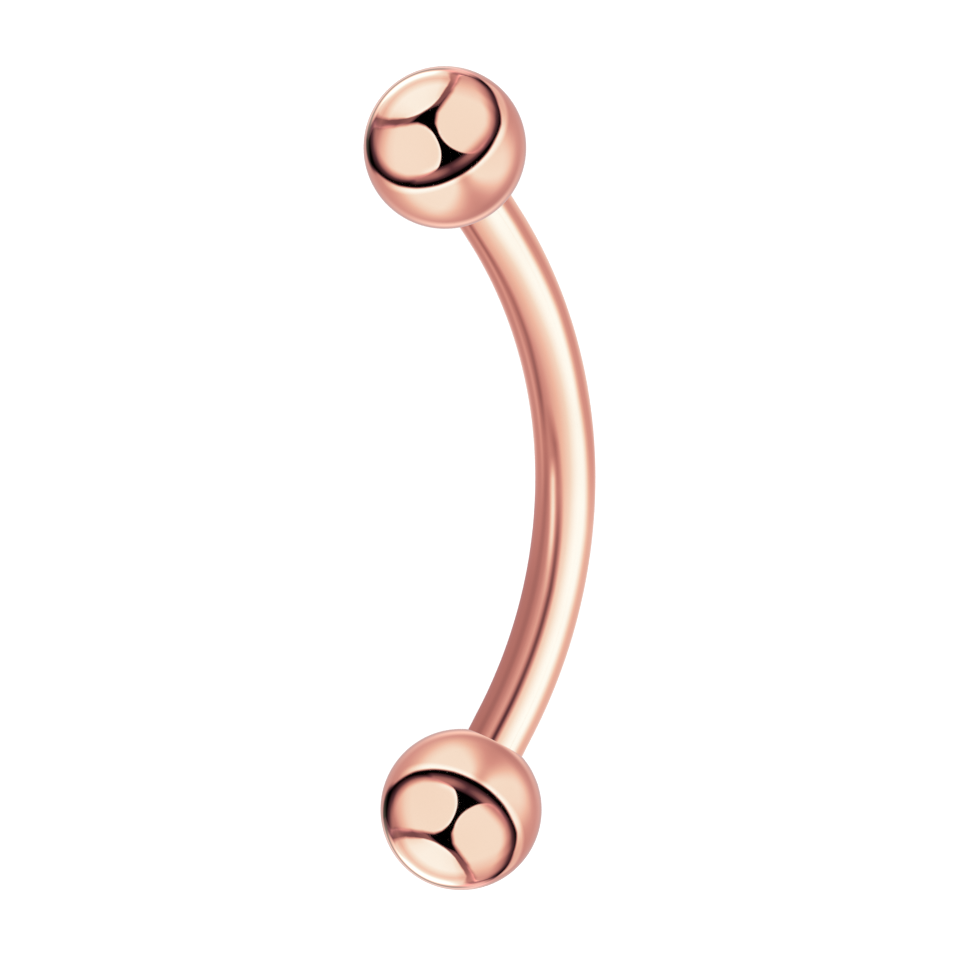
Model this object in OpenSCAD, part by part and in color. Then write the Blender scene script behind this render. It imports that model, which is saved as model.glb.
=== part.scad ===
// Curved eyebrow barbell: a bent round bar with a threaded post at each end,
// and a ball screwed down on each post.
// It lies as it rests by itself on a table, on both balls and the middle of its bow.
// Millimetres, +Z up. Y runs from ball to ball and the bow bulges towards +X.
// The origin is on the table, in the middle of the outline seen from above.

/* [Bar] */
// Diameter of the bar, 16 gauge wire
bar_d = 1.19; // [1:0.01:1.6]
// Clear length between the balls, straight across
clear_length = 10; // [8:0.5:13]
// Angle of each straight end to the line from ball to ball, in degrees
end_angle = 33; // [26:1:40]
// Straight stretch of the bar outside each ball, before the bend
end_straight = 0.5; // [0.2:0.1:1]

/* [Threaded posts] */
// Step down from the bar to the outside of the thread, all round
shoulder = 0.055; // [0.04:0.005:0.1]
// Distance from one thread to the next
thread_pitch = 0.25; // [0.2:0.05:0.3]
// Threads on each post
thread_turns = 6; // [4:1:6]

/* [Balls] */
// Diameter of each ball
ball_d = 3.175; // [3:0.025:4]
// Play between the thread and the hole, all round
hole_play = 0.025; // [0.02:0.005:0.04]
// How deep the end of the bar sits in the mouth of each ball
seat_depth = 0.08; // [0.05:0.01:0.15]

/* [Hidden] */
$fn = 96;
rose_gold = "#f3bca8";

// Radii of the pieces
bar_r = bar_d / 2;
ball_r = ball_d / 2;
thread_r = bar_r - shoulder;
hole_r = thread_r + hole_play;

// Mouth of each ball: a shallow recess round the end of the bar
mouth_play = 0.02;
seat_gap = 0.02;
mouth_r = bar_r + mouth_play;

// Places along a post, measured from the centre of its ball, positive outwards
mouth_at = -sqrt(ball_r * ball_r - mouth_r * mouth_r);
shoulder_at = mouth_at + seat_depth;
seat_at = shoulder_at + seat_gap;
thread_at = shoulder_at + 0.1;
tip_at = thread_at + thread_turns * thread_pitch;
tip_chamfer = 0.08;
hole_end_at = tip_at + tip_chamfer + 0.08;
drill_slope = 31;

// A 60 degree thread: its depth, and the widths of its crest, flank and root
thread_depth = 0.6134 * thread_pitch;
crest = thread_pitch / 8;
root = thread_pitch / 4;
flank = (thread_pitch - crest - root) / 2;
root_r = thread_r - thread_depth;

// The bend: straight ends of length reach from each ball's centre, and one arc between them
half_span = (clear_length + ball_d) / 2;
reach = end_straight - mouth_at;
bend_r = (half_span - reach * cos(end_angle)) / sin(end_angle);
bow = reach * sin(end_angle) + bend_r * (1 - cos(end_angle));
// Each half of the bend is made this many degrees too long, and cut off in the middle
overrun = 3;

// At rest the plane of the bend leans until the middle of the bar is on the table
rest_tilt = asin(min(1, (ball_r - bar_r) / bow));
outline_centre = (bow * cos(rest_tilt) + bar_r - ball_r) / 2;

// Outline of one thread, from crest to crest, as radius and height
function one_thread(start) = [
    [thread_r, start + crest / 2],
    [root_r, start + crest / 2 + flank],
    [root_r, start + crest / 2 + flank + root],
    [thread_r, start + thread_pitch - crest / 2],
];

// Outline of a straight end with its shoulder, threads and tip, as radius and height
function end_outline() = concat(
    [[0, -reach], [bar_r, -reach], [bar_r, shoulder_at], [thread_r, shoulder_at]],
    [for (turn = [0 : thread_turns - 1]) each one_thread(thread_at + turn * thread_pitch)],
    [[thread_r, tip_at], [thread_r - tip_chamfer, tip_at + tip_chamfer], [0, tip_at + tip_chamfer]]
);

// Puts its children as the barbell rests on the table
module at_rest() {
    translate([-outline_centre, 0, ball_r])
        rotate([0, rest_tilt, 0])
            children();
}

// Puts its children on the centre of a ball, with +Z out along that end of the bar
module on_end(side) {
    translate([0, side * half_span, 0])
        rotate([-90 * side, 0, side * end_angle])
            children();
}

// Half of the bar, for side 1: half the bend, a straight end and its threaded post
module half_bar() {
    difference() {
        on_end(1) {
            translate([-bend_r, 0, -reach])
                rotate([-90, 0, 0])
                    rotate_extrude(angle = end_angle + overrun, start = 0)
                        translate([bend_r, 0])
                            circle(r = bar_r);
            rotate_extrude()
                polygon(end_outline());
        }
        translate([0, -half_span, 0])
            cube(2 * half_span, center = true);
    }
}

// The bar, all one piece: two halves that meet in the middle of the bend
module bar() {
    color(rose_gold)
        at_rest() {
            half_bar();
            mirror([0, 1, 0])
                half_bar();
        }
}

// Outline of a ball's blind hole, as radius and height: mouth recess, straight hole, drill point
function hole_outline() = [
    [0, -ball_d],
    [mouth_r, -ball_d],
    [mouth_r, seat_at],
    [hole_r, seat_at],
    [hole_r, hole_end_at],
    [0, hole_end_at + hole_r * tan(drill_slope)],
];

// A ball with its blind hole, screwed down on one end of the bar
module ball(side) {
    color(rose_gold)
        at_rest()
            on_end(side)
                difference() {
                    sphere(r = ball_r);
                    rotate_extrude()
                        polygon(hole_outline());
                }
}

module upper_ball() {
    ball(1);
}

module lower_ball() {
    ball(-1);
}

bar();
upper_ball();
lower_ball();
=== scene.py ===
import math

import bmesh
import bpy
from mathutils import Matrix, Vector


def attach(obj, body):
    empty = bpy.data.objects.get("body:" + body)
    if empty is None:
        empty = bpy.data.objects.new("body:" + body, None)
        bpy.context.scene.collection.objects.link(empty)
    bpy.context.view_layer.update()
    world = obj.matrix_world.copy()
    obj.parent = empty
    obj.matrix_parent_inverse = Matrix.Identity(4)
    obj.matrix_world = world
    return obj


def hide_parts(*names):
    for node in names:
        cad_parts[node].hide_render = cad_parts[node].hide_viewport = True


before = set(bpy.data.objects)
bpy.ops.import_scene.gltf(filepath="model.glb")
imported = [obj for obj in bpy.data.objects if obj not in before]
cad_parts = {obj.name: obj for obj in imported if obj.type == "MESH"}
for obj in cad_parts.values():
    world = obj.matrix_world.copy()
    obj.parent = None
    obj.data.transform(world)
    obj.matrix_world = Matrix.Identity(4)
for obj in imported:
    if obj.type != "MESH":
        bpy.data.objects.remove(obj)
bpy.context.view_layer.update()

# Sizes of the real piece, in millimetres, the same as in the solids
MM = 0.001
BAR_R = 1.19 / 2
BALL_R = 3.175 / 2
CLEAR_LENGTH = 10
STRAIGHT_END = 0.5
END_ANGLE = math.radians(33)
SHOULDER_STEP = 0.055
HOLE_PLAY = 0.025
MOUTH_PLAY = 0.02
THREAD_R = BAR_R - SHOULDER_STEP
HOLE_R = THREAD_R + HOLE_PLAY
MOUTH_R = BAR_R + MOUTH_PLAY

# The thread, and how gently it runs in at its foot and out at its end
PITCH = 0.25
TURNS = 6
THREAD_DEPTH = 0.6134 * PITCH
HOLE_THREAD_DEPTH = 0.5 * THREAD_DEPTH
RUN_IN = 0.6 * PITCH
RUN_OUT = 0.3 * PITCH
TIP_CHAMFER = 0.08
DRILL_SLOPE = math.radians(31)

# Short lengths along a post
SHOULDER_SINK = 0.08
SEAT_GAP = 0.02
NECK = 0.1
HOLE_SPARE = 0.08

# Places along a post from the centre of its ball, positive outwards
MOUTH_AT = -math.sqrt(BALL_R**2 - MOUTH_R**2)
SHOULDER_AT = MOUTH_AT + SHOULDER_SINK
SEAT_AT = SHOULDER_AT + SEAT_GAP
THREAD_AT = SHOULDER_AT + NECK
TIP_AT = THREAD_AT + TURNS * PITCH
HOLE_END_AT = TIP_AT + TIP_CHAMFER + HOLE_SPARE

# The bend, and how the barbell lies on the table
HALF_SPAN = (CLEAR_LENGTH + 2 * BALL_R) / 2
REACH = STRAIGHT_END - MOUTH_AT
BEND_R = (HALF_SPAN - REACH * math.cos(END_ANGLE)) / math.sin(END_ANGLE)
BOW = REACH * math.sin(END_ANGLE) + BEND_R * (1 - math.cos(END_ANGLE))
REST_TILT = math.asin((BALL_R - BAR_R) / BOW)
OUTLINE_CENTRE = (BOW * math.cos(REST_TILT) + BAR_R - BALL_R) / 2

# How finely the turned and bent shapes are cut
ROUND_STEPS = 96
BALL_STEPS = 128
BALL_ARC_STEPS = 96
BEND_STEPS = 72
ROWS_PER_PITCH = 20
STRAIGHT_ROW = 0.06

# How near two points are to be one, on an outline's axis and on the bar's joints
SAME_ON_AXIS = 1e-5
SAME_POINT = 1e-4

# Past this angle, in degrees, an edge is crisp; a face lies past an edge if it is this far beyond it
CRISP_ANGLE = 40
JUST_PAST = 0.005

# The camera: which way it lies, its turn in degrees, its distance and the width that it sees in metres, and
# how far right of the barbell's middle it aims in millimetres
CAMERA_BACK = (-0.10453, 0.17537, 0.97894)
CAMERA_ROLL = 1.38
CAMERA_DISTANCE = 0.25
CAMERA_FIELD = 0.0188
CAMERA_AIM_RIGHT = 0.529

# The soft boxes' distance in metres. As parts of it: the width of a skirt and of the soft outline, how far
# inside the border a shade is full and gone, and the height over which a bright rim comes in
BOX_DISTANCE = 0.1
SKIRT_WIDTH = 0.16
BOX_EDGE = 0.08
SHADE_FULL, SHADE_END = 0.35, 0.65
RIM_FADE_UP = 0.4

# The part of a soft box's width over which a bright rim comes in
RIM_FADE_ACROSS = 0.3

# The relief of a metal's skin in millimetres, and the coat's middle tint
RELIEF = 0.0012
COAT_TINT = "#f3bca8"

# Short names for what the node trees use most
MATH = "ShaderNodeMath"
RANGE = "ShaderNodeMapRange"
RAMP = "ShaderNodeValToRGB"
NOISE = "ShaderNodeTexNoise"
TIMES = "MULTIPLY"
TIMES_ADD = "MULTIPLY_ADD"
SMOOTH = "SMOOTHSTEP"


def at_rest():
    """The lie of the whole barbell on the table."""
    return Matrix.Translation((-OUTLINE_CENTRE, 0, BALL_R)) @ Matrix.Rotation(REST_TILT, 4, "Y")


def on_end(side):
    """The centre of one ball, with +Z out along that end of the bar: side 1 is the upper end."""
    place = Matrix.Translation((0, side * HALF_SPAN, 0))
    swing = Matrix.Rotation(side * END_ANGLE, 4, "Z")
    lay_down = Matrix.Rotation(-side * math.pi / 2, 4, "X")
    return place @ swing @ lay_down


def spin_outline(bm, outline, steps):
    """Turns an outline of (radius, height) points round Z, as on a lathe, and closes it on the axis."""
    points = [bm.verts.new((radius, 0, height)) for radius, height in outline]
    edges = [bm.edges.new(pair) for pair in zip(points, points[1:])]
    bmesh.ops.spin(
        bm,
        geom=points + edges,
        cent=(0, 0, 0),
        axis=(0, 0, 1),
        angle=math.tau,
        steps=steps,
        use_merge=True,
    )
    bmesh.ops.remove_doubles(bm, verts=bm.verts, dist=SAME_ON_AXIS)


def arc_points(centre, radius, start, end, steps):
    """Points of an arc in an outline, between two angles in degrees from the radius direction."""
    points = []
    for step in range(steps + 1):
        angle = math.radians(start + (end - start) * step / steps)
        points.append((centre[0] + radius * math.cos(angle), centre[1] + radius * math.sin(angle)))
    return points


def rows(start, end, step):
    """Heights from start to end, about step apart, both ends left out."""
    count = max(2, round(abs(end - start) / step))
    return [start + (end - start) * k / count for k in range(1, count)]


def thread_profile(turn):
    """How deep a sixty degree thread is cut at a part of a turn: 0 on its crest and 1 in its root."""
    crest_half = 1 / 16
    root_half = 1 / 8
    from_root = abs(turn % 1.0 - 0.5)
    flank = 0.5 - crest_half - root_half
    return min(1.0, max(0.0, (0.5 - crest_half - from_root) / flank))


def fade_in(value):
    """0 below 0, 1 above 1 and smooth between."""
    value = min(1.0, max(0.0, value))
    return value * value * (3 - 2 * value)


def cut_thread(bm, wall_r, start, end, depth):
    """Presses a right-handed thread into a straight wall of radius wall_r, fading out at both ends."""
    for vert in bm.verts:
        radius = math.hypot(vert.co.x, vert.co.y)
        if abs(radius - wall_r) > SAME_POINT or not start < vert.co.z < end:
            continue
        around = math.atan2(vert.co.y, vert.co.x) / math.tau
        cut = thread_profile((vert.co.z - start) / PITCH - around)
        cut *= fade_in((vert.co.z - start) / RUN_IN) * fade_in((end - vert.co.z) / RUN_OUT)
        scale = (radius - depth * cut) / radius
        vert.co.x *= scale
        vert.co.y *= scale


def finish_piece(bm, name, body, materials):
    """Makes a mesh in millimetres a smooth piece at rest, in place of the CAD node named like its body."""
    bmesh.ops.recalc_face_normals(bm, faces=bm.faces)
    for face in bm.faces:
        face.smooth = True
    for edge in bm.edges:
        if edge.is_manifold and edge.calc_face_angle(0) > math.radians(CRISP_ANGLE):
            edge.smooth = False
    bm.transform(Matrix.Scale(MM, 4) @ at_rest())
    mesh = bpy.data.meshes.new(name)
    bm.to_mesh(mesh)
    bm.free()
    for material in materials:
        mesh.materials.append(material)
    piece = bpy.data.objects.new(name, mesh)
    bpy.context.scene.collection.objects.link(piece)
    # The pieces keep their own colours: none shows in another, or tints the table
    piece.visible_diffuse = False
    piece.visible_glossy = False
    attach(piece, body)
    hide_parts(body)
    return piece


def post_outline():
    """A straight end of the bar in section: shoulder with a rolled edge, neck, thread and pointed tip."""
    edge_r = 0.02
    neck_r = 0.01
    step = PITCH / ROWS_PER_PITCH
    outline = [(BAR_R, -REACH)]
    outline += [(BAR_R, height) for height in rows(-REACH, SHOULDER_AT - edge_r, STRAIGHT_ROW)]
    outline += arc_points((BAR_R - edge_r, SHOULDER_AT - edge_r), edge_r, 0, 90, 5)
    outline += [(THREAD_R + neck_r, SHOULDER_AT)]
    outline += arc_points((THREAD_R + neck_r, SHOULDER_AT + neck_r), neck_r, 270, 180, 3)[1:]
    outline += [(THREAD_R, height) for height in rows(SHOULDER_AT + neck_r, TIP_AT, step)]
    outline += [(THREAD_R, TIP_AT)]
    outline += [(THREAD_R - TIP_CHAMFER, TIP_AT + TIP_CHAMFER), (0, TIP_AT + TIP_CHAMFER)]
    return outline


def make_bar(metal, thread_metal):
    """The bent bar and its two threaded posts, one piece of wire."""
    plain_neck = 0.04
    bm = bmesh.new()
    spin_outline(bm, post_outline(), ROUND_STEPS)
    cut_thread(bm, THREAD_R, SHOULDER_AT + plain_neck, TIP_AT, THREAD_DEPTH)
    for face in bm.faces:
        centre = face.calc_center_median()
        if centre.z > SHOULDER_AT + JUST_PAST:
            face.material_index = 1
    ring = bmesh.ops.create_circle(bm, cap_ends=False, segments=ROUND_STEPS, radius=BAR_R)["verts"]
    bmesh.ops.translate(bm, verts=ring, vec=(0, 0, -REACH))
    ring_edges = list({edge for vert in ring for edge in vert.link_edges})
    bmesh.ops.spin(
        bm,
        geom=ring + ring_edges,
        cent=(-BEND_R, 0, -REACH),
        axis=(0, 1, 0),
        angle=END_ANGLE,
        steps=BEND_STEPS,
    )
    bmesh.ops.transform(bm, matrix=on_end(1), verts=bm.verts)
    whole = bm.verts[:] + bm.edges[:] + bm.faces[:]
    bmesh.ops.mirror(bm, geom=whole, axis="Y", merge_dist=SAME_POINT)
    bmesh.ops.remove_doubles(bm, verts=bm.verts, dist=SAME_POINT)
    return finish_piece(bm, "bent_bar", "bar", [metal, thread_metal])


def ball_outline():
    """A ball in section: drill point, threaded hole, seat, mouth with a rolled edge, and the outside."""
    edge_r = 0.025
    step = PITCH / ROWS_PER_PITCH
    point_at = HOLE_END_AT + HOLE_R * math.tan(DRILL_SLOPE)
    # The rolled edge touches the mouth's wall and the ball from inside
    roll_x = MOUTH_R + edge_r
    roll_z = -math.sqrt((BALL_R - edge_r) ** 2 - roll_x**2)
    touch = math.degrees(math.atan2(roll_z, roll_x))
    outline = [(0, point_at), (HOLE_R, HOLE_END_AT)]
    outline += [(HOLE_R, height) for height in rows(HOLE_END_AT, SEAT_AT, step)]
    outline += [(HOLE_R, SEAT_AT), (MOUTH_R, SEAT_AT)]
    outline += arc_points((roll_x, roll_z), edge_r, -180, touch, 6)
    outline += arc_points((0, 0), BALL_R, touch, 90, BALL_ARC_STEPS)[1:-1]
    outline += [(0, BALL_R)]
    return outline


def make_ball(side, name, body, metal, hole_shade_metal):
    """A ball with its threaded blind hole, screwed down on one end of the bar."""
    plain_end = 0.02
    solid_cap = 0.4
    bm = bmesh.new()
    spin_outline(bm, ball_outline(), BALL_STEPS)
    cut_thread(bm, HOLE_R, SEAT_AT + plain_end, HOLE_END_AT - plain_end, -HOLE_THREAD_DEPTH)
    # The hole's faces take the second material, whose dark colour is painted shade
    for face in bm.faces:
        centre = face.calc_center_median()
        near_axis = math.hypot(centre.x, centre.y) < MOUTH_R - JUST_PAST
        if near_axis and centre.z < BALL_R - solid_cap:
            face.material_index = 1
    if side < 0:
        half_turn = Matrix.Rotation(math.pi, 3, "Z")
        bmesh.ops.rotate(bm, verts=bm.verts, cent=(0, 0, 0), matrix=half_turn)
    bmesh.ops.transform(bm, matrix=on_end(side), verts=bm.verts)
    return finish_piece(bm, name, body, [metal, hole_shade_metal])


def linear(text):
    """An sRGB hex colour as linear red, green, blue and alpha."""
    parts = [int(text[k : k + 2], 16) / 255 for k in (1, 3, 5)]
    return (*[c / 12.92 if c <= 0.04045 else ((c + 0.055) / 1.055) ** 2.4 for c in parts], 1.0)


def add_node(tree, kind, *values, out=0, sockets=None, stops=None, **settings):
    """Adds one node and gives back one of its outputs.

    values fill its first sockets in order and sockets fills named ones, each with a value or with another
    node's output. stops are those of a colour ramp, (place, colour), and settings its own properties."""
    node = tree.nodes.new(kind)
    for name, value in settings.items():
        setattr(node, name, value)
    for socket, value in [*enumerate(values), *(sockets or {}).items()]:
        if isinstance(value, bpy.types.NodeSocket):
            tree.links.new(value, node.inputs[socket])
        else:
            node.inputs[socket].default_value = value
    if stops:
        elements = node.color_ramp.elements
        while len(elements) < len(stops):
            elements.new(0.5)
        for element, (place, colour) in zip(elements, stops):
            element.position = place
            element.color = colour
    return node.outputs[out] if node.outputs else None


def new_material(name):
    """An empty material and its node tree, with the place on the object's own surface."""
    material = bpy.data.materials.new(name)
    material.use_nodes = True
    tree = material.node_tree
    tree.nodes.clear()
    return material, tree, add_node(tree, "ShaderNodeTexCoord", out="Object")


def hair_lines(tree, place, slant, width, length, share):
    """1 along fine straight scratches, 0 between: slant turns them about X and Z, in degrees, and width and
    length are in millimetres. A higher share leaves fewer of them."""
    turn = (math.radians(slant[0]), 0.0, math.radians(slant[1]))
    scale = (1 / (width * MM), 1 / (length * MM), 1 / (width * MM))
    placing = {"Vector": place, "Rotation": turn, "Scale": scale}
    turned = add_node(tree, "ShaderNodeMapping", sockets=placing)
    streaks = add_node(tree, NOISE, sockets={"Vector": turned, "Scale": 1.0, "Detail": 1.0})
    return add_node(tree, RANGE, streaks, share, share + 0.1)


def metal_coat(material, tree, colour, roughness, height):
    """A metal with a polished or satin skin, given its colour, roughness and the height of its relief."""
    normal = add_node(tree, "ShaderNodeBump", sockets={"Height": height, "Distance": RELIEF * MM})
    sockets = {
        "Base Color": colour,
        "Metallic": 1.0,
        "Roughness": roughness,
        "Specular Tint": linear("#ffffff"),
        "Normal": normal,
    }
    shader = add_node(tree, "ShaderNodeBsdfPrincipled", sockets=sockets)
    add_node(tree, "ShaderNodeOutputMaterial", shader)
    return material


def polished_rose_gold():
    """Surgical steel, tumbled and mirror polished, under a rose gold PVD coat, as on a new barbell.

    The eye sees sharp, contrasty reflections tinted pink-gold. Their edges waver a little, because tumbling
    leaves the surface very slightly wavy, the coat's tint drifts a shade, and a few hairlines from the
    polishing cloth cross it. Real hairlines are about 0.005 mm wide, too fine to show, so they are drawn
    about 0.03 mm wide."""
    material, tree, place = new_material("rose_gold_pvd_mirror_polished_steel")
    some = hair_lines(tree, place, slant=(12, 25), width=0.03, length=2.2, share=0.7)
    others = hair_lines(tree, place, slant=(-20, -50), width=0.035, length=1.6, share=0.72)
    hairs = add_node(tree, MATH, some, others, operation="MAXIMUM")
    haze = add_node(tree, NOISE, sockets={"Vector": place, "Scale": 1 / (0.5 * MM), "Detail": 3.0})
    haze = add_node(tree, RANGE, haze, 0.35, 0.75, 0.03, 0.055)
    waves = add_node(tree, NOISE, sockets={"Vector": place, "Scale": 1 / (0.8 * MM), "Detail": 1.0})
    drift = add_node(tree, NOISE, sockets={"Vector": place, "Scale": 1 / (1.8 * MM), "Detail": 1.0})
    tints = [(0.0, linear("#f0b6a0")), (1.0, linear("#f6c2b0"))]
    return metal_coat(
        material,
        tree,
        colour=add_node(tree, RAMP, drift, stops=tints),
        roughness=add_node(tree, MATH, hairs, 0.1, haze, operation=TIMES_ADD),
        height=add_node(tree, MATH, hairs, -0.06, waves, operation=TIMES_ADD),
    )


def threaded_rose_gold():
    """The same coat on the threads, which are rolled into the wire and never polished.

    The eye sees a satin, slightly darker pink-gold, mottled, with faint streaks round the post from the
    thread rolls and a fine grain, both drawn about twice as coarse as they are so that they show."""
    material, tree, place = new_material("rose_gold_pvd_satin_rolled_thread")
    streaks = hair_lines(tree, place, slant=(0, 90), width=0.02, length=0.5, share=0.5)
    grain = add_node(tree, NOISE, sockets={"Vector": place, "Scale": 1 / (0.03 * MM), "Detail": 3.0})
    mottle = add_node(tree, NOISE, sockets={"Vector": place, "Scale": 1 / (0.4 * MM), "Detail": 2.0})
    tints = [(0.3, linear("#d9967f")), (0.7, linear("#efb4a0"))]
    return metal_coat(
        material,
        tree,
        colour=add_node(tree, RAMP, mottle, stops=tints),
        roughness=add_node(tree, RANGE, mottle, 0.3, 0.7, 0.16, 0.27),
        height=add_node(tree, MATH, streaks, 0.6, grain, operation=TIMES_ADD),
    )


def tapped_hole_painted_shade():
    """Steel in a ball's blind hole, left as it was drilled and tapped, with painted shade.

    The eye sees a dull brown-grey that is darker than the outside: painted shade for the depth of the hole,
    with fine rings from the tap."""
    material, tree, place = new_material("tapped_steel_painted_hole_shade")
    rings = hair_lines(tree, place, slant=(0, 90), width=0.03, length=0.8, share=0.5)
    mottle = add_node(tree, NOISE, sockets={"Vector": place, "Scale": 1 / (0.25 * MM), "Detail": 3.0})
    # These dark brown-greys are painted shade for the inside of the hole
    tints = [(0.3, linear("#5e463f")), (0.7, linear("#8a6a60"))]
    return metal_coat(
        material,
        tree,
        colour=add_node(tree, RAMP, mottle, stops=tints),
        roughness=add_node(tree, RANGE, mottle, 0.3, 0.7, 0.3, 0.42),
        height=rings,
    )


# What a lamp shows in the polished metal, from black through maroon, pink and peach to cream
TONES = [
    (0.15, "#5c3236"),
    (0.35, "#ba746a"),
    (0.5, "#d79182"),
    (0.65, "#eeb69e"),
    (0.8, "#f5dac4"),
    (1.0, "#fef8ec"),
]


def light_by_tone(tree, tone):
    """Colours a lamp by its tone at each place, a number from 0 to 1.

    Each colour is divided by the metal's, so that the metal shows it, and stored at half so that the ramp
    can hold it."""
    metal = linear(COAT_TINT)
    stops = [(0.0, (0.0, 0.0, 0.0, 1.0))]
    for place, shown in TONES:
        light = [0.5 * wanted / own for wanted, own in zip(linear(shown)[:3], metal)]
        stops.append((place, (*light, 1.0)))
    colour = add_node(tree, RAMP, tone, stops=stops)
    add_node(tree, "ShaderNodeOutputLight", add_node(tree, "ShaderNodeEmission", colour, 2.0))


def follow(tree, value, pairs):
    """A number that follows a value through pairs of (value, number), and stays put beyond the outer two."""
    low, high = pairs[0][0], pairs[-1][0]
    least = min(number for at, number in pairs)
    # A ramp holds only 0 to 1, so the numbers are stored as parts of their span, which is never 0
    span = max(0.01, max(number for at, number in pairs) - least)
    stops = [((at - low) / (high - low), (*[(number - least) / span] * 3, 1.0)) for at, number in pairs]
    part = add_node(tree, RAMP, add_node(tree, RANGE, value, low, high), stops=stops)
    return add_node(tree, MATH, part, span, least, operation=TIMES_ADD)


def length_of(tree, x, y):
    """The length of a line that goes x across and y up."""
    squares = add_node(tree, MATH, x, x, add_node(tree, MATH, y, y, operation=TIMES), operation=TIMES_ADD)
    return add_node(tree, MATH, squares, operation="SQRT")


def less(tree, tone, share, depth=1.0):
    """A tone with a share of itself taken away, to a depth."""
    taken = add_node(tree, MATH, share, depth, operation=TIMES)
    kept = add_node(tree, MATH, taken, -1.0, 1.0, operation=TIMES_ADD)
    return add_node(tree, MATH, tone, kept, operation=TIMES)


def direction(azimuth, polar):
    """The unit vector at an azimuth from +X towards +Y and a polar angle from straight up, in degrees."""
    a, p = math.radians(azimuth), math.radians(polar)
    return Vector((math.sin(p) * math.cos(a), math.sin(p) * math.sin(a), math.cos(p)))


def facing(away, up, side):
    """Across, up and towards-the-lamp axes; side -1 is the mirror image, top to bottom in the picture."""
    if side < 0:
        view_up = camera_axes()[1]
        away, up = [axis - 2 * axis.dot(view_up) * view_up for axis in (away, up)]
    return up.cross(away), up, away


def lamp_axes(azimuth, polar, side):
    """The axes of a lamp at an azimuth and polar angle, its up axis as near to straight up as can be."""
    away = direction(azimuth, polar)
    across = Vector((-math.sin(math.radians(azimuth)), math.cos(math.radians(azimuth)), 0))
    return facing(away, away.cross(across), side)


def place_lamp(data, name, position, axes, lit):
    """Hangs a lamp that faces back along the last of its axes and lights only the pieces in lit."""
    lamp = bpy.data.objects.new(name, data)
    lamp.rotation_mode = "QUATERNION"
    lamp.rotation_quaternion = Matrix(axes).transposed().to_quaternion()
    lamp.location = position
    lamp.visible_camera = False
    lamp.light_linking.receiver_collection = lit
    bpy.context.scene.collection.objects.link(lamp)


def lamp_tree(data):
    """The empty node tree of a lamp, and the two coordinates of its face, from 0 to 1."""
    data.use_nodes = True
    tree = data.node_tree
    tree.nodes.clear()
    place = add_node(tree, "ShaderNodeNewGeometry", out="Parametric")
    return tree, *[add_node(tree, "ShaderNodeSeparateXYZ", place, out=k) for k in (0, 1)]


def by_height(table, column):
    """One column of a soft box's rows, paired with their heights."""
    return [(row[0], row[column]) for row in table]


def bright_rim(tree, inside, height, part, rim):
    """The tone that a bright rim adds along a soft box's edge."""
    glow = add_node(tree, RANGE, inside, 0.0, rim["width"], rim["level"], 0.0, interpolation_type=SMOOTH)
    starts = ((height, rim["foot"], RIM_FADE_UP), (part, rim["start"], RIM_FADE_ACROSS))
    for value, start, fade in starts:
        within = add_node(tree, RANGE, value, start, start + fade, interpolation_type=SMOOTH)
        glow = add_node(tree, MATH, glow, within, operation=TIMES)
    return glow


def hanging_skirt(tree, inside, height, part, skirt):
    """The tone of the dim cloth round a soft box, which frays at its outer end."""
    left, right = [follow(tree, height, by_height(skirt, k)) for k in (1, 2)]
    middle = (0.45, 0.55)
    hanging = add_node(tree, RANGE, part, *middle, left, right)
    frayed_from = -0.6 * SKIRT_WIDTH
    frayed = add_node(tree, RANGE, inside, -SKIRT_WIDTH, frayed_from, interpolation_type=SMOOTH)
    return add_node(tree, MATH, hanging, frayed, operation=TIMES)


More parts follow.
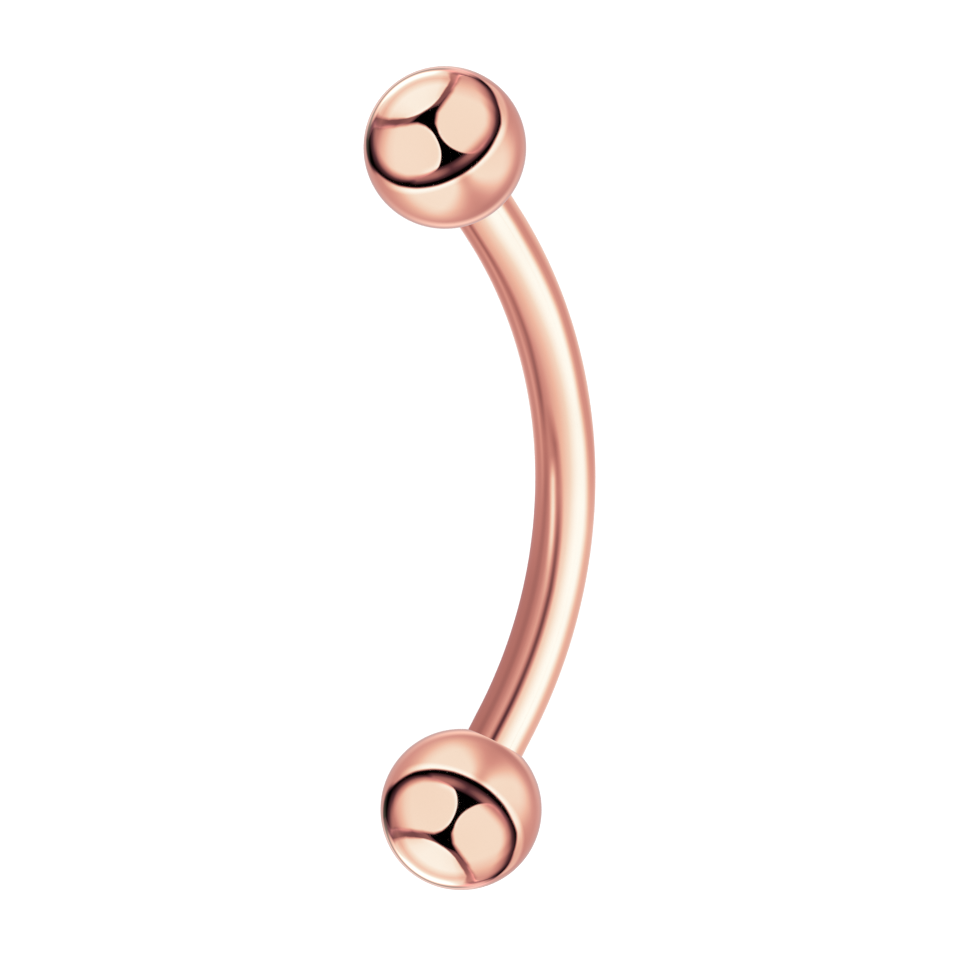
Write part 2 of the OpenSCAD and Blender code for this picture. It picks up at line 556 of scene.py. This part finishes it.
def soft_box(
    name, lit, target, side, azimuth, polar, sides, corner, tones, fall, rim=None, shade=None, skirt=None
):
    """A flat soft box with two round top corners, that lights one set of pieces.

    Its places are parts of its distance, measured across and up from its direction. Each row of sides is a
    height, the left border there and how wide its soft hem is, then the right border and its hem. corner is
    how round the top corners are. tones runs from border to border, and fall from foot to top. rim is a
    brighter edge, from the height foot up and from start, a part of the width, to the right. shade, by
    height, is a darker edge. skirt is a dim cloth that hangs out past the borders: each row is a height and
    its tone on the left and on the right."""
    bottom, top = sides[0][0], sides[-1][0]
    reach = max(max(-row[1], row[3]) for row in sides) + SKIRT_WIDTH
    data = bpy.data.lights.new(name, "AREA")
    data.shape = "RECTANGLE"
    data.size = 2 * reach * BOX_DISTANCE
    data.size_y = (top - bottom) * BOX_DISTANCE
    data.energy = math.pi * data.size * data.size_y
    tree, x, y = lamp_tree(data)
    u = add_node(tree, MATH, x, 2 * reach * side, -reach * side, operation=TIMES_ADD)
    v = add_node(tree, MATH, y, top - bottom, bottom, operation=TIMES_ADD)
    left, left_hem, right, right_hem = [follow(tree, v, by_height(sides, k)) for k in (1, 2, 3, 4)]
    from_left = add_node(tree, MATH, u, left, operation="SUBTRACT")
    from_right = add_node(tree, MATH, right, u, operation="SUBTRACT")
    width = add_node(tree, MATH, right, left, operation="SUBTRACT")
    part = add_node(tree, MATH, from_left, width, operation="DIVIDE")
    # Distance inside the outline, whose two top corners are round
    to_border = add_node(tree, MATH, from_left, from_right, operation="MINIMUM")
    past = []
    for to_edge in (to_border, add_node(tree, MATH, top, v, operation="SUBTRACT")):
        into_corner = add_node(tree, MATH, corner, to_edge, operation="SUBTRACT")
        past.append(add_node(tree, MATH, into_corner, 0.0, operation="MAXIMUM"))
    inside = add_node(tree, MATH, corner, length_of(tree, *past), operation="SUBTRACT")
    cloth = add_node(tree, RANGE, inside, 0.0, BOX_EDGE, interpolation_type=SMOOTH)
    for distance, hem in ((from_left, left_hem), (from_right, right_hem)):
        soft = add_node(tree, RANGE, distance, 0.0, hem, interpolation_type=SMOOTH)
        cloth = add_node(tree, MATH, cloth, soft, operation=TIMES)
    tone = add_node(tree, MATH, follow(tree, part, tones), follow(tree, v, fall), operation=TIMES)
    if shade:
        near_border = add_node(
            tree, RANGE, to_border, SHADE_FULL, SHADE_END, 1.0, 0.0, interpolation_type=SMOOTH
        )
        tone = less(tree, tone, near_border, follow(tree, v, shade))
    if rim:
        tone = add_node(tree, MATH, tone, bright_rim(tree, inside, v, part, rim), operation="ADD")
    tone = add_node(tree, MATH, tone, cloth, operation=TIMES)
    if skirt:
        hanging = hanging_skirt(tree, inside, v, part, skirt)
        tone = add_node(tree, MATH, tone, hanging, operation="MAXIMUM")
    light_by_tone(tree, tone)
    axes = lamp_axes(azimuth, polar, side)
    position = target + BOX_DISTANCE * (axes[2] + axes[1] * (top + bottom) / 2)
    place_lamp(data, name, position, axes, lit)


def sky_lamp(name, lit, half_angle, axes, side=1):
    """A lamp as wide as a cone of sky: its node tree and the two coordinates of its face, from -1 to 1.

    On its face the distance from the middle grows as the sine of half the angle from its axis."""
    data = bpy.data.lights.new(name, "SUN")
    data.angle = 2 * math.radians(half_angle)
    data.energy = math.pi * math.sin(math.radians(half_angle)) ** 2
    tree, x, y = lamp_tree(data)
    place_lamp(data, name, (0, 0, 0), axes, lit)
    x = add_node(tree, MATH, x, 2.0 * side, -1.0 * side, operation=TIMES_ADD)
    return tree, x, add_node(tree, MATH, y, 2.0, -1.0, operation=TIMES_ADD)


def band_level(tree, x):
    """How strongly the maroon band shows at a place along it, from one end at -1 to the other at 1."""
    level = [(-1.0, 0.0), (-0.93, 0.12), (-0.7, 0.33), (-0.31, 0.23), (0.13, 0.12), (0.5, 0.28)]
    return follow(tree, x, [*level, (0.85, 0.28), (0.95, 0.0)])


def tent_fold(tree, x, y):
    """The darker fold where two panels of the tent meet, narrow at the cream border and wide below it."""
    fold_at = follow(tree, y, [(-0.3, 0.12), (0.0, 0.06), (0.2, 0.0)])
    fold_width = follow(tree, y, [(-0.2, 0.75), (0, 0.62), (0.2, 0.55), (0.5, 0.42), (0.8, 0.27)])
    depth = [(-0.5, 0), (-0.3, 0.17), (-0.2, 0.31), (0, 0.44), (0.3, 0.45), (0.5, 0.4)]
    fold_depth = follow(tree, y, [*depth, (0.7, 0.33), (0.95, 0.3)])
    from_fold = add_node(tree, MATH, x, fold_at, operation="SUBTRACT")
    from_fold = add_node(tree, MATH, from_fold, operation="ABSOLUTE")
    return add_node(tree, RANGE, from_fold, 0.0, fold_width, fold_depth, 0.0, interpolation_type=SMOOTH)


def cream_border(tree, x, y, from_middle):
    """The tent's cream border, which reaches further down on its right and a little on its left."""
    ring = follow(tree, from_middle, [(0.89, 0.0), (0.95, 0.19)])
    further = follow(tree, x, [(-0.9, 0.25), (-0.6, 0.0), (0.35, 0.0), (0.6, 0.95)])
    reach_down = add_node(tree, MATH, y, further, operation="ADD")
    within = follow(tree, reach_down, [(-0.3, 0.0), (0.1, 1.0)])
    return add_node(tree, MATH, ring, within, operation=TIMES)


def low_tent(name, lit, side):
    """The pale tent round the lower half of a ball: round, with a cream border, darker towards its foot."""
    axes = lamp_axes(azimuth=-61, polar=113, side=side)
    tree, x, y = sky_lamp(name, lit, half_angle=90, axes=axes, side=side)
    along_band = add_node(tree, MATH, x, -1.0, operation=TIMES)
    # The tent's own places, 1 on its border, which is 79 degrees from its middle
    to_own = 1.1117
    x, y = [add_node(tree, MATH, place, to_own, operation=TIMES) for place in (x, y)]
    from_middle = length_of(tree, x, y)
    fall = [(-1, 0.4), (-0.6, 0.44), (-0.4, 0.48), (-0.3, 0.51), (-0.2, 0.55), (-0.1, 0.6)]
    fall += [(0, 0.67), (0.1, 0.74), (0.2, 0.79), (0.3, 0.82)]
    tone = follow(tree, y, fall)
    to_the_right = follow(tree, x, [(0, 1), (0.7, 0.95), (0.9, 0.87), (1, 0.93)])
    tone = add_node(tree, MATH, tone, to_the_right, operation=TIMES)
    tone = add_node(tree, MATH, tone, cream_border(tree, x, y, from_middle), operation="ADD")
    tone = less(tree, tone, tent_fold(tree, x, y))
    # Its soft border waves a little, and is wider below, though less so on the left
    waves = [(-1, 1.0), (-0.9, 0.99), (-0.57, 0.975), (0.32, 0.972), (0.72, 0.985), (0.93, 1.005)]
    border = follow(tree, x, waves)
    lower_part = add_node(tree, RANGE, y, 0.0, -0.4, 0.0, 0.04)
    right_part = add_node(tree, RANGE, x, -0.6, -0.2, 0.35, 1.0)
    border = add_node(tree, MATH, lower_part, right_part, border, operation=TIMES_ADD)
    # Its lower left is folded away along a slanting line, square to this direction
    fold_x, fold_y = -0.56, -0.83
    to_fold = add_node(tree, MATH, y, fold_y, operation=TIMES)
    to_fold = add_node(tree, MATH, x, fold_x, to_fold, operation=TIMES_ADD)
    left = add_node(tree, RANGE, to_fold, 0.9, 0.99, 1.0, 0.0, interpolation_type=SMOOTH)
    tone = add_node(tree, MATH, tone, left, operation=TIMES)
    past_border = add_node(tree, MATH, from_middle, border, operation="SUBTRACT")
    tent = add_node(tree, RANGE, past_border, -0.02, 0.025, 1.0, 0.0, interpolation_type=SMOOTH)
    tone = add_node(tree, MATH, tone, tent, operation=TIMES)
    # The near edge of the maroon band
    band = follow(tree, from_middle, [(1.045, 0.0), (1.077, 0.5), (1.1, 0.85), (1.112, 1.0)])
    band = add_node(tree, MATH, band, band_level(tree, along_band), operation=TIMES)
    upper_part = add_node(tree, RANGE, y, 0.3, 0.5, interpolation_type=SMOOTH)
    band = add_node(tree, MATH, band, upper_part, operation=TIMES)
    light_by_tone(tree, add_node(tree, MATH, tone, band, operation="ADD"))


def maroon_band(name, lit, side):
    """A dim band of cloth between the black gap over the tent and the soft boxes above it."""
    axes = lamp_axes(azimuth=119, polar=67, side=side)
    tree, x, y = sky_lamp(name, lit, half_angle=90, axes=axes, side=side)
    from_middle = length_of(tree, x, y)
    across = [(0.89, 0.0), (0.92, 0.6), (0.945, 1.1), (0.975, 1.2), (1.0, 1.0)]
    tone = follow(tree, from_middle, across)
    tone = add_node(tree, MATH, tone, band_level(tree, x), operation=TIMES)
    # It narrows where the other boxes come over it
    narrows = [(-0.95, 0.99), (-0.6, 0.975), (-0.45, 0.95), (-0.3, 0.89), (0.4, 0.89), (0.85, 0.975)]
    far_edge = follow(tree, x, narrows)
    past_edge = add_node(tree, MATH, from_middle, far_edge, operation="SUBTRACT")
    past_edge = add_node(tree, RANGE, past_edge, -0.02, 0.03, interpolation_type=SMOOTH)
    tone = add_node(tree, MATH, tone, past_edge, operation=TIMES)
    upper_part = add_node(tree, RANGE, y, 0.25, 0.45, interpolation_type=SMOOTH)
    light_by_tone(tree, add_node(tree, MATH, tone, upper_part, operation=TIMES))


def along(tree, x, y, heading, distance):
    """How far a place lies along a heading of (across, up), as a part of its distance from the middle."""
    part = add_node(tree, MATH, y, heading[1], operation=TIMES)
    part = add_node(tree, MATH, x, heading[0], part, operation=TIMES_ADD)
    return add_node(tree, MATH, part, distance, operation="DIVIDE")


def rim_ring(name, lit, side):
    """A pale ring behind a ball, that draws a thin bright line just inside its outline, brightest by the bar.

    How far in a place shows is 0 on the ball's outline and 1 where the surface turns 60 degrees away from
    the camera, and on the lamp's face it is the distance from the middle."""
    view_up, back = camera_axes()[1:]
    tree, x, y = sky_lamp(name, lit, half_angle=60, axes=facing(-back, view_up, side), side=side)
    far_in = length_of(tree, x, y)
    to_bar = along(tree, x, y, heading=(-0.26, -0.966), distance=far_in)
    ring = [(0.33, 0), (0.44, 0.5), (0.52, 1), (0.6, 1), (0.68, 0.6), (0.74, 0.25), (0.8, 0)]
    level = follow(tree, to_bar, [(-1, 0.03), (0, 0.05), (0.26, 0.07), (0.7, 0.2), (0.97, 0.5)])
    strength = add_node(tree, MATH, follow(tree, far_in, ring), level, operation=TIMES)
    # Away from the bar the outermost edge is no darker than a thin grey line
    to_far_side = along(tree, x, y, heading=(0.5, 0.87), distance=far_in)
    far_level = follow(tree, to_far_side, [(0.34, 0.0), (0.64, 0.08), (0.8, 0.38), (1.0, 0.4)])
    outermost = follow(tree, far_in, [(0.25, 0.5), (0.42, 1.0), (0.58, 1.0), (0.75, 0.0)])
    strength = add_node(tree, MATH, outermost, far_level, strength, operation=TIMES_ADD)
    pale = add_node(tree, "ShaderNodeEmission", linear("#e2fff2"), strength)
    # The outermost edge mirrors a cool backdrop, which greys it
    edge = follow(tree, far_in, [(0.35, 0.4), (0.5, 0.0)])
    cool = add_node(tree, "ShaderNodeEmission", linear("#00706a"), edge)
    add_node(tree, "ShaderNodeOutputLight", add_node(tree, "ShaderNodeAddShader", pale, cool))


def right_box(name, lit, centre, side):
    """The soft box that shows as the cream field right of the black star, brighter along the star."""
    soft_box(
        name,
        lit,
        centre,
        side,
        azimuth=60,
        polar=55,
        sides=[
            (-8, -1.35, 2.0, 1.1, 0.35),
            (-5, -1.25, 1.7, 0.9, 0.35),
            (-3, -1.15, 1.2, 0.83, 0.5),
            (-1.5, -1.05, 1.1, 0.64, 0.28),
            (-1.1, -1.04, 0.9, 0.62, 0.22),
            (-0.8, -1.04, 0.9, 0.61, 0.22),
            (-0.5, -1.03, 0.7, 0.67, 0.23),
            (-0.2, -1.03, 0.6, 0.77, 0.24),
            (0.05, -1.03, 0.6, 0.85, 0.2),
            (0.4, -1.03, 0.66, 0.85, 0.2),
            (0.6, -1.02, 0.67, 0.77, 0.2),
            (1.1, -0.98, 0.7, 0.77, 0.2),
        ],
        corner=0.85,
        tones=[(0, 0.79), (1, 0.8)],
        fall=[(-5, 0.63), (-3, 0.64), (-2, 0.72), (-1.5, 0.8), (-1.2, 0.86), (-0.9, 0.92), (-0.6, 1)],
        rim={"level": 0.15, "width": 0.18, "foot": 0.1, "start": 0.45},
    )


def left_box(name, lit, centre, side):
    """The soft box that shows as the cream field left of the black star, brighter along the star."""
    soft_box(
        name,
        lit,
        centre,
        side,
        azimuth=-170,
        polar=70,
        sides=[
            (-5, -1.4, 0.3, -0.3, 0.8),
            (-3, -1.15, 0.3, -0.2, 0.8),
            (-2, -0.92, 0.3, 0.15, 1.0),
            (-1.5, -0.84, 0.3, 0.35, 0.9),
            (-1.2, -0.84, 0.3, 0.38, 0.75),
            (-0.9, -0.87, 0.3, 0.43, 0.6),
            (-0.4, -0.86, 0.22, 0.52, 0.4),
            (0, -1.04, 0.27, 0.59, 0.3),
            (0.4, -1.26, 0.25, 0.6, 0.22),
            (0.8, -1.28, 0.2, 0.6, 0.18),
            (1.72, -1.06, 0.2, 0.6, 0.18),
        ],
        corner=0.88,
        tones=[(0, 0.8), (1, 0.79)],
        fall=[
            (-5, 0.2),
            (-3, 0.26),
            (-2, 0.37),
            (-1.5, 0.42),
            (-1.2, 0.48),
            (-0.9, 0.68),
            (-0.6, 0.84),
            (-0.4, 0.95),
            (-0.2, 1),
        ],
        rim={"level": 0.21, "width": 0.35, "foot": 0.3, "start": -1.0},
    )


def rear_box(name, lit, centre, side):
    """The soft box behind a ball, which shows as the palest field beyond the star's two long arms.

    Its hems and its skirt show as those arms, which are dim but not black."""
    soft_box(
        name,
        lit,
        centre,
        side,
        azimuth=125,
        polar=95,
        sides=[
            (-4.4, -2.0, 0.5, 1.4, 0.5),
            (-3, -1.7, 0.5, 1.2, 0.4),
            (-2.2, -1.6, 0.45, 1.2, 0.35),
            (-1.8, -1.37, 0.45, 1.02, 0.4),
            (-1.3, -1.15, 0.3, 0.75, 0.27),
            (-0.9, -1.07, 0.2, 0.69, 0.17),
            (-0.65, -1.03, 0.13, 0.67, 0.16),
            (-0.27, -0.91, 0.12, 0.595, 0.15),
            (0, -0.78, 0.12, 0.49, 0.14),
            (0.18, -0.67, 0.11, 0.39, 0.13),
            (0.3, -0.61, 0.1, 0.34, 0.11),
            (0.48, -0.55, 0.07, 0.3, 0.07),
        ],
        corner=0.4,
        tones=[
            (0, 0.8),
            (0.12, 0.88),
            (0.2, 0.97),
            (0.4, 1),
            (0.65, 1),
            (0.8, 0.95),
            (0.88, 0.87),
            (1, 0.75),
        ],
        fall=[
            (-4.4, 0),
            (-3, 0.03),
            (-2.6, 0.1),
            (-2.2, 0.2),
            (-1.8, 0.74),
            (-1.5, 1.07),
            (-1.3, 1.1),
            (-1.1, 0.97),
            (-0.9, 0.76),
            (-0.7, 0.69),
            (-0.5, 0.79),
            (-0.3, 0.92),
            (0.3, 0.92),
        ],
        shade=[(-3, 0), (-1.8, 0.2), (-1.5, 0.27), (-1.3, 0.27), (-1.1, 0.17), (-0.9, 0.03), (-0.8, 0)],
        rim={"level": 0.12, "width": 0.2, "foot": -0.1, "start": -1.0},
        skirt=[
            (-2, 0.1, 0.08),
            (-1.2, 0.38, 0.2),
            (-0.65, 0.32, 0.27),
            (-0.27, 0.24, 0.2),
            (0.1, 0.21, 0.19),
            (0.4, 0.21, 0.24),
            (0.48, 0.1, 0.1),
        ],
    )


def peach_card(name, lit, centre, side):
    """A small card that shows where the star's arm on the right meets the black crescent."""
    soft_box(
        name,
        lit,
        centre,
        side,
        azimuth=62.4,
        polar=150.4,
        sides=[(-0.3, -0.15, 0.2, 0.22, 0.2), (-0.1, -0.2, 0.2, 0.22, 0.2), (0.3, -0.2, 0.2, 0.22, 0.2)],
        corner=0.1,
        tones=[(0, 0.52), (1, 0.52)],
        fall=[(-0.3, 0), (-0.16, 0.2), (-0.08, 0.6), (0, 1), (0.1, 1.05), (0.2, 0.5), (0.26, 0)],
    )


def lit_set(name, piece):
    """A set of one piece, which its own lamps light and no others."""
    collection = bpy.data.collections.new(name)
    collection.objects.link(piece)
    return collection


def light_ball(ball, side):
    """The lamps round one ball: they leave the black gaps between them that a polished ball shows."""
    lit = lit_set("lit_" + ball.name, ball)
    centre = MM * (at_rest() @ on_end(side)).translation
    label = "upper" if side > 0 else "lower"
    right_box("right_box_" + label, lit, centre, side)
    left_box("left_box_" + label, lit, centre, side)
    rear_box("rear_box_" + label, lit, centre, side)
    peach_card("peach_card_" + label, lit, centre, side)
    maroon_band("maroon_band_" + label, lit, side)
    low_tent("low_tent_" + label, lit, side)
    rim_ring("rim_ring_" + label, lit, side)


def bend_place(tree, normal):
    """Where the bar shows a mirror normal, given in the camera's axes: across its width and round its bend.

    Across runs from -1 on the inside of the bend to 1 on the outside, and the bend is in degrees, positive
    towards the upper ball."""
    bow_way = Matrix.Rotation(REST_TILT, 3, "Y") @ Vector((1, 0, 0))
    outward, lengthwise = [
        Vector([axis.dot(seen) for seen in camera_axes()]) for axis in (bow_way, Vector((0, 1, 0)))
    ]
    out_part, long_part = [
        add_node(tree, "ShaderNodeVectorMath", normal, axis, out="Value", operation="DOT_PRODUCT")
        for axis in (outward, lengthwise)
    ]
    sign = add_node(tree, MATH, out_part, operation="SIGN")
    long_part = add_node(tree, MATH, long_part, sign, operation=TIMES)
    out_part = add_node(tree, MATH, out_part, operation="ABSOLUTE")
    bend = add_node(tree, MATH, long_part, out_part, operation="ARCTAN2")
    sine = add_node(tree, MATH, bend, operation="SINE")
    cosine = add_node(tree, MATH, bend, operation="COSINE")
    # The wire's own direction there, as it lies in the picture
    wire = []
    for k in (0, 1):
        straight = add_node(tree, MATH, cosine, lengthwise[k], operation=TIMES)
        wire.append(add_node(tree, MATH, sine, -outward[k], straight, operation=TIMES_ADD))
    x, y = [add_node(tree, "ShaderNodeSeparateXYZ", normal, out=k) for k in (0, 1)]
    y_part = add_node(tree, MATH, y, wire[0], operation=TIMES)
    x_part = add_node(tree, MATH, x, wire[1], operation=TIMES)
    crossed = add_node(tree, MATH, x_part, y_part, operation="SUBTRACT")
    width = add_node(tree, MATH, crossed, length_of(tree, *wire), operation="DIVIDE")
    return width, add_node(tree, MATH, bend, 180 / math.pi, operation=TIMES)


def line_at(tree, width, at, half_width):
    """1 on a line left of the bar's middle, at a part of its half width, and falling to 0 beside it."""
    off = add_node(tree, MATH, add_node(tree, MATH, width, at, operation="ADD"), operation="ABSOLUTE")
    return add_node(tree, RANGE, off, 0.0, half_width, 1.0, 0.0, interpolation_type=SMOOTH)


def bar_cloths(tree, width, bend):
    """A broad bright cloth to the bar's right, and a warm darker one to its left."""
    shift = follow(tree, bend, [(10, 0), (16, 0.05), (21.5, 0.15), (27, 0.23), (32, 0.33)])
    slope = [(-1, 0.42), (-0.6, 0.4), (-0.45, 0.43), (-0.35, 0.5), (-0.25, 0.57), (-0.15, 0.62)]
    slope += [(-0.05, 0.67), (0.15, 0.77), (0.25, 0.87), (0.35, 0.95), (0.45, 1)]
    tone = follow(tree, add_node(tree, MATH, width, shift, operation="ADD"), slope)
    # The bright cloth ends nearer the edge on the lower half of the bar
    end_at = follow(tree, bend, [(-20, 0.09), (-8, 0.11), (3.7, 0.05), (10, -0.01), (22, 0), (32, -0.08)])
    end = [(0.5, 0), (0.55, 0.07), (0.62, 0.4), (0.68, 0.73), (0.75, 0.95), (0.85, 1), (1, 0.7)]
    end = follow(tree, add_node(tree, MATH, width, end_at, operation="SUBTRACT"), end)
    tone = less(tree, tone, end, follow(tree, bend, [(-8, 0.43), (3, 0.53), (32, 0.55)]))
    lower_half = follow(tree, bend, [(-15, 1), (-5, 0.3), (3, 0)])
    left_side = add_node(tree, RANGE, width, -0.35, -0.6, 0.0, 0.2, interpolation_type=SMOOTH)
    return less(tree, tone, left_side, lower_half)


def bar_tone(tree, width, bend):
    """What the bar shows: the cloths round it, two dark gaps between them, and fine pale lines."""
    tone = bar_cloths(tree, width, bend)
    # A dark gap runs along the inner edge, and another comes in from it on the lower half. Each has its
    # place round the bend, its half width and its depth round the bend
    edge_gap = (
        [(-2.5, 0.65), (10, 0.6), (18, 0.57), (24, 0.59), (32, 0.68)],
        0.14,
        [(-32, 0.1), (-15, 0.08), (-2.5, 0.2), (3.7, 0.12), (10, 0.36), (26, 0.3), (32, 0.42)],
    )
    lower_place = [(-32, 0.12), (-27, 0.115), (-21, 0.1), (-15, 0.1), (-8.7, 0.15), (-2.5, 0.22)]
    lower_gap = (
        [*lower_place, (3.7, 0.31), (9, 0.42)],
        0.2,
        [(-32, 0.78), (-26, 0.72), (-15, 0.7), (-8.7, 0.6), (-2.5, 0.34), (3.7, 0.42), (9, 0)],
    )
    for place, half_width, depth in (edge_gap, lower_gap):
        line = line_at(tree, width, follow(tree, bend, place), half_width)
        tone = less(tree, tone, line, follow(tree, bend, depth))
    # A peach glint lies between the two gaps, and pale lines along the upper half of the inner edge
    glint = line_at(tree, width, follow(tree, bend, [(-15, 0.28), (-8.7, 0.35), (-2.5, 0.42)]), 0.16)
    glint_level = [(-17, 0), (-13, 0.08), (-8.7, 0.29), (-5, 0.37), (-1, 0.34), (2, 0)]
    tone = add_node(tree, MATH, glint, follow(tree, bend, glint_level), tone, operation=TIMES_ADD)
    upper_half = follow(tree, bend, [(-5, 0), (3, 1)])
    for at, half_width, level in ((0.76, 0.08, 0.09), (1.0, 0.12, 0.16)):
        line = add_node(tree, MATH, line_at(tree, width, at, half_width), upper_half, operation=TIMES)
        tone = add_node(tree, MATH, line, level, tone, operation=TIMES_ADD)
    return tone


def light_bar(bar):
    """The sky round the bar, in two halves on the camera's axis.

    A distance from the middle of such a lamp, times half_root, is a part of the mirror normal that shows it
    there: on the front half its part in the picture, and on the back half its part towards the camera."""
    lit = lit_set("lit_" + bar.name, bar)
    across, up, back = camera_axes()
    half_root = math.sqrt(0.5)
    for name, axes in (("bar_front_sky", (across, up, back)), ("bar_back_sky", (-across, up, -back))):
        tree, x, y = sky_lamp(name, lit, half_angle=90, axes=axes)
        offset = length_of(tree, x, y)
        scaled = add_node(tree, MATH, offset, half_root, operation=TIMES)
        squared = add_node(tree, MATH, scaled, scaled, operation=TIMES)
        other = add_node(tree, MATH, 1.0, squared, operation="SUBTRACT")
        other = add_node(tree, MATH, other, operation="SQRT")
        if name == "bar_front_sky":
            flat, to_camera, mirrored = half_root, other, 1
        else:
            flat = add_node(tree, MATH, other, offset, operation="DIVIDE")
            to_camera, mirrored = scaled, -1
        x = add_node(tree, MATH, add_node(tree, MATH, x, mirrored, operation=TIMES), flat, operation=TIMES)
        y = add_node(tree, MATH, y, flat, operation=TIMES)
        normal = add_node(tree, "ShaderNodeCombineXYZ", x, y, to_camera)
        light_by_tone(tree, bar_tone(tree, *bend_place(tree, normal)))


def table_lamp(name, lit, away, half_angle, share):
    """An even patch of soft white light on the table, giving this share of full white."""
    data = bpy.data.lights.new(name, "SUN")
    data.angle = 2 * math.radians(half_angle)
    data.energy = share * math.pi
    across = away.orthogonal().normalized()
    place_lamp(data, name, (0, 0, 0), (across, away.cross(across), away), lit)


def make_table():
    """A plain white table, lit so brightly that only a faint shadow shows where the barbell rests."""
    bm = bmesh.new()
    bmesh.ops.create_circle(bm, cap_ends=True, segments=ROUND_STEPS, radius=0.8)
    mesh = bpy.data.meshes.new("table_top")
    bm.to_mesh(mesh)
    bm.free()
    table = bpy.data.objects.new("table_top", mesh)
    bpy.context.scene.collection.objects.link(table)
    material = bpy.data.materials.new("matt_white_card")
    material.use_nodes = True
    shader = material.node_tree.nodes["Principled BSDF"]
    shader.inputs["Base Color"].default_value = linear("#fbfaf9")
    shader.inputs["Roughness"].default_value = 0.9
    shader.inputs["Specular IOR Level"].default_value = 0.0
    mesh.materials.append(material)
    table.visible_glossy = False
    table.visible_shadow = False
    lit = lit_set("lit_table", table)
    table_lamp("table_light", lit, camera_axes()[2], half_angle=5.0, share=0.45)
    table_lamp("table_sky", lit, Vector((0, 0, 1)), half_angle=90.0, share=0.95)


def make_backdrop():
    """White all round for the camera alone, so that it lights nothing."""
    world = bpy.data.worlds.new("studio")
    bpy.context.scene.world = world
    world.use_nodes = True
    tree = world.node_tree
    tree.nodes.clear()
    seen = add_node(tree, "ShaderNodeLightPath", out="Is Camera Ray")
    background = add_node(tree, "ShaderNodeBackground", linear("#ffffff"), seen)
    add_node(tree, "ShaderNodeOutputWorld", background)


def camera_axes():
    """Right, up and back of the camera at the photograph's angle: nearly straight down, turned a little."""
    back = Vector(CAMERA_BACK).normalized()
    up = Vector((0, 1, 0))
    up = (up - back * up.dot(back)).normalized()
    right = up.cross(back)
    roll = math.radians(CAMERA_ROLL)
    return (
        right * math.cos(roll) - up * math.sin(roll),
        up * math.cos(roll) + right * math.sin(roll),
        back,
    )


def make_camera():
    """A long lens, so the picture is nearly without perspective, framed as the photograph is."""
    right, up, back = camera_axes()
    sensor = 36
    aim = MM * Vector((-OUTLINE_CENTRE, 0, BALL_R)) + right * CAMERA_AIM_RIGHT * MM
    data = bpy.data.cameras.new("camera")
    data.sensor_width = sensor
    data.lens = sensor * CAMERA_DISTANCE / CAMERA_FIELD
    data.clip_start = 0.01
    data.clip_end = 5
    camera = bpy.data.objects.new("camera", data)
    bpy.context.scene.collection.objects.link(camera)
    camera.rotation_mode = "QUATERNION"
    camera.rotation_quaternion = Matrix((right, up, back)).transposed().to_quaternion()
    camera.location = aim + back * CAMERA_DISTANCE
    bpy.context.scene.camera = camera


make_camera()
make_table()
make_backdrop()
mirror_finish = polished_rose_gold()
# The holes' material is dark as painted shade
hole_shade_finish = tapped_hole_painted_shade()
bar_piece = make_bar(mirror_finish, threaded_rose_gold())
upper_piece = make_ball(1, "upper_end_ball", "upper_ball", mirror_finish, hole_shade_finish)
lower_piece = make_ball(-1, "lower_end_ball", "lower_ball", mirror_finish, hole_shade_finish)
light_bar(bar_piece)
light_ball(upper_piece, 1)
light_ball(lower_piece, -1)
bpy.context.scene.view_settings.view_transform = "Standard"
